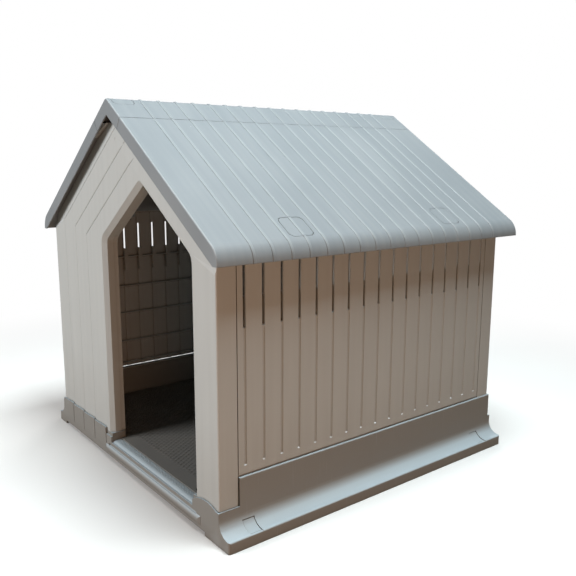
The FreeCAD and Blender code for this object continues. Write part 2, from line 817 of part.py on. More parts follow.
# ---------------------------------------------------------------- base
def tray_section(inset):
    """Half-open section of the base; inset below the surface gives the hollow under it."""
    low = -1.0 if inset else 0.0
    lip = lip_x - inset
    out = riser_x - inset
    inn = riser_in + inset
    rim = riser_height - inset
    ledge = lip_height - inset
    deck = deck_height - inset
    bend = cove_radius + inset if inset else cove_radius
    bend = min(bend, lip - out - 0.5)
    soft = 1.5 if not inset else 0
    nose = 3.0 if not inset else 0
    rim_round = riser_round if not inset else 0
    right = [(lip, low), (lip, ledge, nose), (out, ledge, bend), (out, rim, rim_round), (inn, rim, soft),
             (inn, deck, soft)]
    left = [(-corner[0],) + tuple(corner[1:]) for corner in reversed(right)]
    return right + left


def collar_tabs():
    """Board ends of the front collar, left of the doorway: each is proud and rounded at its right side."""
    back = -half_y - collar_gap
    lines = [-half_x] + front_board_lines()
    tabs = []
    for x0 in lines:
        x1 = x0 + front_board
        high = collar_height + collar_step / 2
        face = [(x0, lip_height), (x1, lip_height), (x1, high, tab_round), (x0, high - collar_step)]
        plan = [(x0, tray_front - 0.2), (x1, tray_front - tab_proud), (x1, back), (x0, back)]
        tabs.append(along_y(face, tray_front - 5, back).common(along_z(plan, 0, 200)))
    return tabs


def collar_arch():
    """Arched collar in front of the right-hand column."""
    x0 = door_right
    x1 = half_x
    base = [V(x0, 0, lip_height), V(x1, 0, lip_height), V(x1, 0, front_seat - 3), V(x0, 0, front_seat - 7)]
    crown = V(x0 + (x1 - x0) * 0.5, 0, collar_height)
    edges = [Part.LineSegment(base[3], base[0]).toShape(), Part.LineSegment(base[0], base[1]).toShape(),
             Part.LineSegment(base[1], base[2]).toShape(), Part.Arc(base[2], crown, base[3]).toShape()]
    arch = Part.Face(Part.Wire(edges)).extrude(V(0, -half_y - collar_gap - tray_front, 0))
    arch.translate(V(0, tray_front, 0))
    return arch


def base_tray():
    """Moulded plinth: coved sides, risers, front curb, apron with bead and sill, ribs under the deck."""
    wide = lip_x + 10
    tray = along_y(tray_section(0), tray_front, tray_rear)
    plan = rectangle(-lip_x, lip_x, tray_front, tray_rear, tray_corner_round)
    tray = tray.common(along_z(plan, 0, riser_height + 1))
    tray = tray.cut(box(-wide, wide, tray_front - 1, -seam_y + seam_gap, front_seat, riser_height + 1))
    rear_face = half_y + riser_proud
    tray = tray.cut(box(-wide, wide, rear_face, tray_rear + 1, front_seat, riser_height + 1))
    side = riser_in + 1
    low = deck_height - 1
    curb = box(-side, side, tray_front, -half_y + curb_depth, low, front_seat)
    curb = curb.cut(box(-wide, wide, tray_front - 1, -half_y - collar_gap, front_seat - 9, 200))
    curb_left = curb.common(box(-side, door_left + curb_lap, tray_front, 0, low, front_seat))
    curb_right = curb.common(box(door_right - curb_lap, side, tray_front, 0, low, front_seat))
    rear_riser = box(-side, side, rear_face - riser_width, rear_face, low, riser_height)
    rear_foot = box(-side, side, rear_face - 1, tray_rear, low, front_seat)
    tray = tray.fuse([curb_left, curb_right, rear_riser, rear_foot])
    tray = tray.cut(along_y(tray_section(sheet), tray_front + sheet, tray_rear - sheet))
    tray = tray.cut(box(-riser_in + sheet, riser_in - sheet, rear_face - riser_width + sheet,
                        rear_face - sheet, -1, riser_height - sheet))
    tray = tray.fuse(tray_ribs())
    tray = tray.fuse(collar_tabs() + [collar_arch()] + [sill(), front_bead()])
    groove_z = bead_level + math.sqrt(bead_rod ** 2 - (bead_rod - bead_proud) ** 2) + 2
    groove = rod(3.0, (door_left - 12, tray_front - 0.5, groove_z), (1, 0, 0), door_width + 24)
    tray = tray.cut(groove)
    pilot = screw_length + 1
    cuts = [box(-lip_x + foot_left, lip_x - foot_right, tray_front - 10, tray_front + 25, -1, foot_raise),
            box(-lip_x + foot_left, lip_x - foot_right, tray_rear - 25, tray_rear + 5, -1, foot_raise)]
    for side in (-1, 1):
        for y in (-catch_centre, catch_centre):
            cuts.append(catch_window(side, y))
    for x in base_screw_front():
        cuts.append(rod(screw_radius, (x, base_screw_y(), front_seat - screw_length), (0, 0, 1), pilot))
    for x in base_screw_rear():
        cuts.append(rod(screw_radius, (x, -base_screw_y(), riser_height - screw_length), (0, 0, 1), pilot))
    for y in base_screw_side():
        for x in (-screw_x(), screw_x()):
            cuts.append(rod(screw_radius, (x, y, riser_height - screw_length), (0, 0, 1), pilot))
    return tray.cut(cuts).removeSplitter()


def tray_ribs():
    """Crossed ribs under the deck, clear of the ground."""
    low = foot_raise + 2
    high = deck_height - sheet / 2
    ribs = []
    for x in places(riser_in, tray_rib_spacing, 20):
        ribs.append(box(x - sheet / 2, x + sheet / 2, tray_front + 1, tray_rear - 1, low, high))
    for y in places(half_y, tray_rib_spacing, 20):
        ribs.append(box(-riser_in - 1, riser_in + 1, y - sheet / 2, y + sheet / 2, low, high))
    return ribs


def sill():
    """Step pad between the jambs, rolled down at the front."""
    x0 = door_left + sill_gap
    x1 = door_right - sill_gap
    y0 = tray_front + 1.5
    pad = along_x([(y0, bead_level), (y0 + sill_depth, bead_level), (y0 + sill_depth, sill_height),
                   (y0, sill_height, sill_round)], x0 - 8, x1 + 8)
    return pad


def front_bead():
    """Half-round bead along the foot of the doorway."""
    x0 = door_left - bead_past_door
    x1 = door_right + bead_past_door
    centre = tray_front - bead_proud + bead_rod
    bar = rod(bead_rod, (x0, centre, bead_level), (1, 0, 0), x1 - x0)
    bar = bar.common(box(x0, x1, tray_front - bead_rod, tray_front + sheet, 0, 100))
    ends = []
    for x, lean in ((x0, 1), (x1, -1)):
        front = tray_front - bead_rod
        nose = [(x - lean, tray_front + 0.01), (x - lean, front), (x + lean * 30, front)]
        ends.append(along_z(nose, 0, 100))
    return bar.cut(ends)


def cove_ring(inner, outer, y0, y1):
    """Part of a ring round the cove's centre, on the right-hand side of the tray."""
    centre = (riser_x + cove_radius, lip_height + cove_radius)
    ring = rod(outer, (centre[0], y0, centre[1]), (0, 1, 0), y1 - y0)
    ring = ring.cut(rod(inner, (centre[0], y0 - 1, centre[1]), (0, 1, 0), y1 - y0 + 2))
    return ring, centre


def cove_sector(start, end, y0, y1, inner, outer):
    """Ring between two angles in degrees, measured from straight down towards the riser."""
    ring, centre = cove_ring(inner, outer, y0, y1)
    far = outer * 2
    a = math.radians(start)
    b = math.radians(end)
    mid = (a + b) / 2
    points = [(centre[0], centre[1])]
    for angle in (a, mid, b):
        points.append((centre[0] - far * math.sin(angle), centre[1] - far * math.cos(angle)))
    return ring.common(along_y(points, y0 - 2, y1 + 2))


def catch_window(side, y):
    """Slot through the cove for a base catch, opened on to the lip."""
    half = catch_width / 2 + catch_gap
    gap_angle = math.degrees(catch_gap / cove_radius)
    outer = cove_radius + sheet + 1
    hole = cove_sector(0, catch_angle + gap_angle, y - half, y + half, cove_radius - 6, outer)
    lip = box(riser_x + cove_radius - 1, lip_x + 1, y - half, y + half, lip_height - catch_sunk,
              lip_height + 1)
    hole = hole.fuse(lip)
    return hole if side > 0 else mirrored(hole)


def base_catch(y):
    """Rounded plug sunk a little below the cove, held by a lip behind it."""
    half = catch_width / 2
    top = cove_radius + catch_sunk
    plug = cove_sector(1, catch_angle, y - half, y + half, top, cove_radius + sheet + 1)
    depth = sheet + 1 - catch_sunk
    edges = [edge for edge in plug.Edges if is_plug_corner(edge, depth)]
    plug = plug.makeFillet(catch_corner, edges)
    lip = cove_sector(2, catch_angle + 4, y - half - catch_lip, y + half + catch_lip, cove_radius + sheet,
                      cove_radius + sheet + 2)
    return plug.fuse(lip).removeSplitter()


def is_plug_corner(edge, depth):
    """Straight edges square to the cove at the plug's two upper corners."""
    size = edge.BoundBox
    upper = size.ZMax > lip_height + cove_radius / 3
    return size.YLength < 0.01 and abs(edge.Length - depth) < 0.05 and upper


def floor_panel():
    """Lift-out floor: plate on a grid of low ribs, with a tongue to the sill and a finger hole."""
    side = riser_in - floor_clearance
    front = -half_y + curb_depth + floor_clearance - 1
    rear = half_y + riser_proud - riser_width - floor_clearance
    tongue_y = tray_front + 1.5 + sill_depth + 0.5
    x0 = door_left + curb_lap + floor_clearance
    x1 = door_right - curb_lap - floor_clearance
    plan = [(-side, front), (x0, front), (x0, tongue_y), (x1, tongue_y), (x1, front), (side, front),
            (side, rear), (-side, rear)]
    under = deck_height + floor_rib
    plate = along_z(plan, under, floor_top)
    ribs = []
    half = floor_rib_width / 2
    for x in places(side, floor_rib_spacing, 4):
        ribs.append(box(x - half, x + half, front + 2, rear - 2, deck_height, under))
    for y in places(rear, floor_rib_spacing, 4):
        if y > front + 2:
            ribs.append(box(-side + 2, side - 2, y - half, y + half, deck_height, under))
    ribs.append(box(x0 + 2, x1 - 2, tongue_y + 2, tongue_y + 5, deck_height, under))
    plate = plate.fuse(ribs)
    hole_x = x1 - 5 * finger_hole
    plan = rectangle(hole_x - finger_hole, hole_x + finger_hole, front - finger_hole, front + 1, 3.5)
    hole = along_z(plan, deck_height - 1, floor_top + 1)
    return plate.cut(hole).removeSplitter()


# ---------------------------------------------------------------- fasteners
def screw(tip, axis):
    """Pan-head cross-recessed screw; tip is under its head, and axis points out of the head."""
    up = rod(screw_head_radius, (0, 0, 0), (0, 0, 1), screw_head_height)
    up = up.makeFillet(1.2, [edge for edge in up.Edges if edge.BoundBox.ZMin > screw_head_height - 0.01])
    shank = rod(screw_radius - screw_clearance, (0, 0, 0.2 - screw_length), (0, 0, 1), screw_length)
    body = up.fuse(shank)
    body = body.cut([box(-3, 3, -0.6, 0.6, screw_head_height - 1.5, screw_head_height + 1),
                     box(-0.6, 0.6, -3, 3, screw_head_height - 1.5, screw_head_height + 1)])
    turn = FreeCAD.Rotation(V(0, 0, 1), V(*axis))
    body.Placement = FreeCAD.Placement(V(*tip), turn)
    return body


def wall_screws():
    """Three screws down each of the four corner seams, from the gable wall's flange."""
    screws = []
    for z in wall_screw_levels(riser_height):
        for x in (-screw_x(), screw_x()):
            screws.append(screw((x, -seam_y - sheet, z), (0, -1, 0)))
            screws.append(screw((x, seam_y + sheet, z), (0, 1, 0)))
    return Part.makeCompound(screws)


def base_screws():
    """Screws down through the walls' foot flanges into the tray."""
    screws = []
    for x in base_screw_front():
        screws.append(screw((x, base_screw_y(), front_seat + sheet), (0, 0, 1)))
    for x in base_screw_rear():
        screws.append(screw((x, -base_screw_y(), riser_height + sheet), (0, 0, 1)))
    for y in base_screw_side():
        for x in (-screw_x(), screw_x()):
            screws.append(screw((x, y, riser_height + sheet), (0, 0, 1)))
    return Part.makeCompound(screws)


# ---------------------------------------------------------------- build
def build():
    os.makedirs("parts", exist_ok=True)
    save("base_tray", base_tray())
    save("floor_panel", floor_panel())
    save("front_wall", front_wall())
    save("rear_wall", rear_wall())
    side = side_panel()
    save("right_side_panel", side)
    save("left_side_panel", mirrored(side))
    beads = all_beads()
    roof = roof_panel(beads)
    save("right_roof_panel", roof)
    save("left_roof_panel", mirrored(roof))
    save("ridge_cap", ridge_cap(beads))
    save("cap_screws", cap_screws())
    for end, y in (("front", -eave_latch_centre), ("rear", eave_latch_centre)):
        latch = eave_latch(y, beads)
        save("eave_latch_right_" + end, latch)
        save("eave_latch_left_" + end, mirrored(latch))
    save("eave_latch_pins", eave_latch_pins())
    for end, (y0, y1) in zip(("front", "rear"), ridge_latch_ends()):
        save("ridge_latch_" + end, ridge_latch(y0, y1))
    for end, y in (("front", -catch_centre), ("rear", catch_centre)):
        catch = base_catch(y)
        save("base_catch_right_" + end, catch)
        save("base_catch_left_" + end, mirrored(catch))
    save("wall_screws", wall_screws())
    save("base_screws", base_screws())


build()
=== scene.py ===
"""Knock-down moulded-plastic livestock hutch: finishes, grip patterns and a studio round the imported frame.
Metres, +Z up, doorway towards -Y."""
import bpy
import math
from mathutils import Matrix, Vector


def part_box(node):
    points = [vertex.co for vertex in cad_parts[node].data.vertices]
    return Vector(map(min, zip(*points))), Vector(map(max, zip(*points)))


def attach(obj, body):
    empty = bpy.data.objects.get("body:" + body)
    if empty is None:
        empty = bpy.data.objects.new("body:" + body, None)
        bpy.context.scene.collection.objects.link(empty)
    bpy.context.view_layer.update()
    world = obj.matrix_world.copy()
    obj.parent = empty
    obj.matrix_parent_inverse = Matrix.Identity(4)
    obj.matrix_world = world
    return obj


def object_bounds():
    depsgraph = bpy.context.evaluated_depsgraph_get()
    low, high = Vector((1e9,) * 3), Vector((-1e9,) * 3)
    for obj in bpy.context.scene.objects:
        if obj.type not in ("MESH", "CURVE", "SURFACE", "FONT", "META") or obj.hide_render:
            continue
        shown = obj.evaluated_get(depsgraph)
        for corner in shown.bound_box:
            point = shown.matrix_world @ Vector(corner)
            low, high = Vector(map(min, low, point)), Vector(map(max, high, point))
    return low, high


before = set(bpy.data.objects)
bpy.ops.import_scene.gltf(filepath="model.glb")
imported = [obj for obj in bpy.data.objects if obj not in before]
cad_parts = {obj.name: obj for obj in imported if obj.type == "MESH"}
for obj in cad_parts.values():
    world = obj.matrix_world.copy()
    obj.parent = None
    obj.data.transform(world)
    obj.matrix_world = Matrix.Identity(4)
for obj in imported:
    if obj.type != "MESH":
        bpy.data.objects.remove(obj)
cad_low, cad_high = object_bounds()

MM = 0.001

# Camera: where the eye stands, its compass turn, how far it looks down, its roll, and the lens.
EYE = (1.41903, -1.05798, 0.72781)
EYE_TURN = 51.875
EYE_DOWN = 10.596
EYE_ROLL = 0.198
LENS = 42.61
SENSOR = 36.0

# Studio lamps: name, place, the point each faces, side, power in watts, tint.
MIDDLE = (0.0, 0.0, (cad_low[2] + cad_high[2]) / 2)
LAMPS = (
    ("overhead_panel", (0.75, 0.0, 3.0), (0.35, 0.0, 0.4), 1.2, 118.0, (0.90, 0.975, 1.0)),
    ("front_panel", (-0.9, -3.2, 1.5), MIDDLE, 1.6, 88.0, (1.0, 0.985, 0.99)),
    ("right_fill", (1.9, -0.9, 0.15), (0.3, -0.1, 0.25), 0.8, 9.5, (1.0, 0.50, 0.25)),
    ("rear_panel", (-2.2, 2.8, 1.5), MIDDLE, 2.0, 60.0, (1.0, 0.98, 0.96)),
)

# The surround's strength as light, the paper's radius, and how far out it turns into the white surround.
AMBIENT = 0.03
PAPER_RADIUS = 6.0
PAPER_SIDES = 96
PAPER_FADE = (0.85, 1.9)

# The roof's beads: their pitch, where the middle one lies along the ridge, how many pitches they reach
# each way, the widths over which a bead's painted highlight line fades out, and the ridge cap's half width
# with the strip over which they fade in.
BEAD_PITCH = 44.1 * MM
BEAD_MIDDLE = -8.0 * MM
BEAD_REACH = 8.3
BEAD_HIGHLIGHT = (2.0 * MM, 3.6 * MM)
CAP_HALF = 67.2 * MM
CAP_FADE = 30 * MM

# Grip patterns: how far each lozenge is let into its face, its top's width as a share of its foot, its
# shoulder as a share of its height, the floor's plain border and front tongue, and the step's flat top.
GRIP_ROOT = 0.2 * MM
GRIP_TAPER = 0.7
GRIP_SHOULDER = 0.45
FLOOR_BORDER = 12 * MM
FLOOR_TONGUE = 20 * MM
SILL_LEVEL = 50.0 * MM
SILL_LOW = (-84 * MM, -413 * MM)
SILL_HIGH = (303 * MM, -401 * MM)

# How polypropylene bends light, and the cosine of an edge normal's turn, from fully worn to not worn.
PLASTIC_IOR = 1.49
WORN_TURN = (0.80, 0.985)

# A colour Mix node's sockets, by place, because its number and vector sockets have the same names.
SHARE, UNDER, OVER, MIXED = 0, 6, 7, 2

ROOF_NODES = ("left_roof_panel", "right_roof_panel", "ridge_cap", "ridge_latch_front", "ridge_latch_rear",
              "eave_latch_left_front", "eave_latch_left_rear", "eave_latch_right_front",
              "eave_latch_right_rear")
WALL_NODES = ("front_wall", "rear_wall", "left_side_panel", "right_side_panel")
BASE_NODES = ("base_tray", "base_catch_left_front", "base_catch_left_rear", "base_catch_right_front",
              "base_catch_right_rear")
FLOOR_NODES = ("floor_panel",)
STEEL_NODES = ("wall_screws", "base_screws", "cap_screws", "eave_latch_pins")


# ---------------------------------------------------------------- colours and nodes
def colour(code):
    """sRGB hex to the linear colour that a shader takes."""
    channels = []
    for i in (0, 2, 4):
        value = int(code[i:i + 2], 16) / 255
        channels.append(value / 12.92 if value <= 0.04045 else ((value + 0.055) / 1.055) ** 2.4)
    return (*channels, 1.0)


def add(tree, kind, inputs=None, **settings):
    """One node with its settings; each input is a value, a hex colour or an output socket."""
    node = tree.nodes.new(kind)
    for key, value in settings.items():
        setattr(node, key, value)
    for key, value in (inputs or {}).items():
        if isinstance(value, bpy.types.NodeSocket):
            tree.links.new(value, node.inputs[key])
        else:
            node.inputs[key].default_value = colour(value) if isinstance(value, str) else value
    return node


def new_material(name):
    """Empty material with its tree, its surface shader and the object's own coordinates."""
    material = bpy.data.materials.new(name)
    material.use_nodes = True
    tree = material.node_tree
    shader = tree.nodes["Principled BSDF"]
    place = add(tree, "ShaderNodeTexCoord").outputs["Object"]
    return material, tree, shader, place


def moulded_skin(tree, shader, place, grain_size, grain_depth, edge_round):
    """Spark-eroded grain over a slightly wavy moulding, with every sharp edge rounded as a mould leaves it.
    Returns the rounded normal."""
    wave_length, wave_depth = 130 * MM, 0.6 * MM
    wave = add(tree, "ShaderNodeTexNoise", {"Vector": place, "Scale": 1 / wave_length, "Detail": 1.0})
    grain = add(tree, "ShaderNodeTexNoise", {"Vector": place, "Scale": 1 / grain_size, "Detail": 2.0,
                                             "Roughness": 0.6})
    rounded = add(tree, "ShaderNodeBevel", {"Radius": edge_round}, samples=4)
    sunk = add(tree, "ShaderNodeBump", {"Strength": 1.0, "Distance": wave_depth,
                                        "Height": wave.outputs["Fac"],
                                        "Normal": rounded.outputs["Normal"]})
    bump = add(tree, "ShaderNodeBump", {"Strength": 1.0, "Distance": grain_depth,
                                        "Height": grain.outputs["Fac"], "Normal": sunk.outputs["Normal"]})
    tree.links.new(bump.outputs["Normal"], shader.inputs["Normal"])
    return rounded.outputs["Normal"]


def worn_edge(tree, rounded, strength):
    """Strength along sharp edges, 0 elsewhere: how far the rounded normal has turned from the face's own."""
    own = add(tree, "ShaderNodeNewGeometry").outputs["Normal"]
    turn = add(tree, "ShaderNodeVectorMath", {0: rounded, 1: own}, operation="DOT_PRODUCT")
    mask = add(tree, "ShaderNodeMapRange", {"Value": turn.outputs["Value"], "From Min": WORN_TURN[1],
                                            "From Max": WORN_TURN[0], "To Min": 0.0, "To Max": strength})
    return mask.outputs["Result"]


# ---------------------------------------------------------------- finishes
def roof_polypropylene():
    """Blue-grey polypropylene, injection moulded with a fine grain: matt, with chalky rain streaks down the
    slopes and a few specks, painted highlights along the bead lines and flanks, and painted shade in the
    gaps."""
    material, tree, shader, place = new_material("roof_polypropylene")
    rounded = moulded_skin(tree, shader, place, grain_size=1.4 * MM, grain_depth=0.05 * MM,
                           edge_round=1.0 * MM)
    streak_width, patch_size, speck_pitch, crevice = 14 * MM, 220 * MM, 45 * MM, 4 * MM
    streaks = add(tree, "ShaderNodeMapping", {"Vector": place, "Scale": (3.0, 1 / streak_width, 3.0)})
    streak = add(tree, "ShaderNodeTexNoise",
                 {"Vector": streaks.outputs["Vector"], "Scale": 1.0, "Detail": 3.0})
    patch = add(tree, "ShaderNodeTexNoise", {"Vector": place, "Scale": 1 / patch_size, "Detail": 4.0})
    chalk = add(tree, "ShaderNodeMath", {0: streak.outputs["Fac"], 1: patch.outputs["Fac"]},
                operation="MULTIPLY")
    chalky = add(tree, "ShaderNodeMapRange",
                 {"Value": chalk.outputs[0], "From Min": 0.15, "From Max": 0.38})
    body = add(tree, "ShaderNodeMix", {SHARE: chalky.outputs["Result"], UNDER: "82898D", OVER: "8A9093"},
               data_type="RGBA").outputs[MIXED]
    speck = add(tree, "ShaderNodeTexVoronoi",
                {"Vector": place, "Scale": 1 / speck_pitch, "Randomness": 1.0})
    dot = add(tree, "ShaderNodeMapRange",
              {"Value": speck.outputs["Distance"], "From Min": 0.014, "From Max": 0.02,
               "To Min": 1.0, "To Max": 0.0})
    specked = add(tree, "ShaderNodeMix", {SHARE: dot.outputs["Result"], UNDER: body, OVER: "C9CCCB"},
                  data_type="RGBA").outputs[MIXED]
    # Painted highlight: upper faces that tilt along Y (bead flanks, rounded roof edges) are painted paler, as
    # if catching the light.
    facing = add(tree, "ShaderNodeNewGeometry").outputs["Normal"]
    parts = add(tree, "ShaderNodeSeparateXYZ", {0: facing})
    across = add(tree, "ShaderNodeMath", {0: parts.outputs["Y"]}, operation="ABSOLUTE")
    flank = add(tree, "ShaderNodeMapRange",
                {"Value": across.outputs[0], "From Min": 0.10, "From Max": 0.45,
                 "To Min": 0.0, "To Max": 0.8})
    raised = add(tree, "ShaderNodeMapRange",
                 {"Value": parts.outputs["Z"], "From Min": 0.2, "From Max": 0.5})
    painted_flank_highlight = add(tree, "ShaderNodeMath", {0: flank.outputs["Result"], 1: raised.outputs["Result"]},
                operation="MULTIPLY")
    # Painted highlight: a pale line painted along each bead on the upper faces, fading out towards the ridge
    # cap.
    spot = add(tree, "ShaderNodeSeparateXYZ", {0: place})
    moved = add(tree, "ShaderNodeMath", {0: spot.outputs["Y"], 1: -BEAD_MIDDLE}, operation="ADD")
    away = add(tree, "ShaderNodeMath", {0: moved.outputs[0], 1: BEAD_PITCH / 2}, operation="PINGPONG")
    painted_bead_line = add(tree, "ShaderNodeMapRange", {"Value": away.outputs[0], "From Min": BEAD_HIGHLIGHT[0],
                                            "From Max": BEAD_HIGHLIGHT[1], "To Min": 0.38, "To Max": 0.0})
    reach = add(tree, "ShaderNodeMath", {0: moved.outputs[0]}, operation="ABSOLUTE")
    beaded = add(tree, "ShaderNodeMath", {0: reach.outputs[0], 1: BEAD_PITCH * BEAD_REACH},
                 operation="LESS_THAN")
    aside = add(tree, "ShaderNodeMath", {0: spot.outputs["X"]}, operation="ABSOLUTE")
    slope = add(tree, "ShaderNodeMapRange", {"Value": aside.outputs[0], "From Min": CAP_HALF,
                                             "From Max": CAP_HALF + CAP_FADE,
                                             "To Min": 0.25, "To Max": 1.0})
    inside = add(tree, "ShaderNodeMath", {0: painted_bead_line.outputs["Result"], 1: beaded.outputs[0]},
                 operation="MULTIPLY")
    faded = add(tree, "ShaderNodeMath", {0: inside.outputs[0], 1: slope.outputs["Result"]},
                operation="MULTIPLY")
    outer = add(tree, "ShaderNodeMath", {0: faded.outputs[0], 1: raised.outputs["Result"]},
                operation="MULTIPLY")
    with_bead_line = add(tree, "ShaderNodeMix", {SHARE: outer.outputs[0], UNDER: specked, OVER: "9DA5A9"},
                 data_type="RGBA").outputs[MIXED]
    with_flank_highlight = add(tree, "ShaderNodeMix", {SHARE: painted_flank_highlight.outputs[0], UNDER: with_bead_line, OVER: "A2A9AC"},
                  data_type="RGBA").outputs[MIXED]
    # Painted shade: dark colour mixed in where ambient occlusion finds gaps and crevices.
    gap = add(tree, "ShaderNodeAmbientOcclusion", {"Distance": crevice}, samples=4)
    painted_gap_shade = add(tree, "ShaderNodeMapRange", {"Value": gap.outputs["AO"], "From Min": 0.2, "From Max": 0.75,
                                            "To Min": 0.7, "To Max": 0.0})
    with_gap_shade = add(tree, "ShaderNodeMix", {SHARE: painted_gap_shade.outputs["Result"], UNDER: with_flank_highlight, OVER: "4A453E"},
                  data_type="RGBA").outputs[MIXED]
    worn = worn_edge(tree, rounded, strength=0.35)
    finished = add(tree, "ShaderNodeMix", {SHARE: worn, UNDER: with_gap_shade, OVER: "A4ABAE"},
                   data_type="RGBA").outputs[MIXED]
    tree.links.new(finished, shader.inputs["Base Color"])
    rough = add(tree, "ShaderNodeMapRange", {"Value": chalk.outputs[0], "From Min": 0.1, "From Max": 0.4,
                                             "To Min": 0.50, "To Max": 0.62})
    tree.links.new(rough.outputs["Result"], shader.inputs["Roughness"])
    shader.inputs["IOR"].default_value = PLASTIC_IOR
    return material


def wall_polypropylene():
    """Light grey polypropylene with a fine grain: grime towards the foot, painted shade in the grooves and
    gaps, and a painted pale top light on the ledges and groove feet."""
    material, tree, shader, place = new_material("wall_polypropylene")
    rounded = moulded_skin(tree, shader, place, grain_size=1.2 * MM, grain_depth=0.04 * MM,
                           edge_round=0.8 * MM)
    run_width, patch_size, crevice = 20 * MM, 300 * MM, 8 * MM
    runs = add(tree, "ShaderNodeMapping", {"Vector": place, "Scale": (1 / run_width, 1 / run_width, 2.0)})
    run = add(tree, "ShaderNodeTexNoise", {"Vector": runs.outputs["Vector"], "Scale": 1.0, "Detail": 3.0})
    patch = add(tree, "ShaderNodeTexNoise", {"Vector": place, "Scale": 1 / patch_size, "Detail": 5.0})
    soil = add(tree, "ShaderNodeMath", {0: run.outputs["Fac"], 1: patch.outputs["Fac"]},
               operation="MULTIPLY")
    mottled = add(tree, "ShaderNodeMapRange",
                  {"Value": soil.outputs[0], "From Min": 0.12, "From Max": 0.42})
    body = add(tree, "ShaderNodeMix", {SHARE: mottled.outputs["Result"], UNDER: "BCC0BE", OVER: "B6BAB8"},
               data_type="RGBA").outputs[MIXED]
    height = add(tree, "ShaderNodeSeparateXYZ", {0: place}).outputs["Z"]
    low = add(tree, "ShaderNodeMapRange",
              {"Value": height, "From Min": 0.07, "From Max": 0.24,
               "To Min": 0.30, "To Max": 0.0})
    splash = add(tree, "ShaderNodeMath", {0: low.outputs["Result"], 1: patch.outputs["Fac"]},
                 operation="MULTIPLY")
    footed = add(tree, "ShaderNodeMix", {SHARE: splash.outputs[0], UNDER: body, OVER: "8B8072"},
                 data_type="RGBA").outputs[MIXED]
    # Painted shade: dark colour mixed in where ambient occlusion finds grooves, gaps and corners.
    corner = add(tree, "ShaderNodeAmbientOcclusion", {"Distance": crevice}, samples=6)
    shade = add(tree, "ShaderNodeMapRange",
                {"Value": corner.outputs["AO"], "From Min": 0.15, "From Max": 0.85,
                 "To Min": 0.85, "To Max": 0.0})
    shaded = add(tree, "ShaderNodeMix", {SHARE: shade.outputs["Result"], UNDER: footed, OVER: "4B463F"},
                 data_type="RGBA").outputs[MIXED]
    # Painted top light: faces that point upwards, ledges and groove feet, are painted a pale blue-white.
    facing = add(tree, "ShaderNodeNewGeometry").outputs["Normal"]
    upward = add(tree, "ShaderNodeSeparateXYZ", {0: facing}).outputs["Z"]
    painted_top_light = add(tree, "ShaderNodeMapRange", {"Value": upward, "From Min": 0.15, "From Max": 0.6,
                                             "To Min": 0.0, "To Max": 0.9})
    with_painted_light = add(tree, "ShaderNodeMix", {SHARE: painted_top_light.outputs["Result"], UNDER: shaded, OVER: "D6DEE2"},
                 data_type="RGBA").outputs[MIXED]
    worn = worn_edge(tree, rounded, strength=0.5)
    finished = add(tree, "ShaderNodeMix", {SHARE: worn, UNDER: with_painted_light, OVER: "D6DADA"},
                   data_type="RGBA").outputs[MIXED]
    tree.links.new(finished, shader.inputs["Base Color"])
    rough = add(tree, "ShaderNodeMapRange", {"Value": soil.outputs[0], "From Min": 0.1, "From Max": 0.45,
                                             "To Min": 0.46, "To Max": 0.60})
    tree.links.new(rough.outputs["Result"], shader.inputs["Roughness"])
    shader.inputs["IOR"].default_value = PLASTIC_IOR
    return material


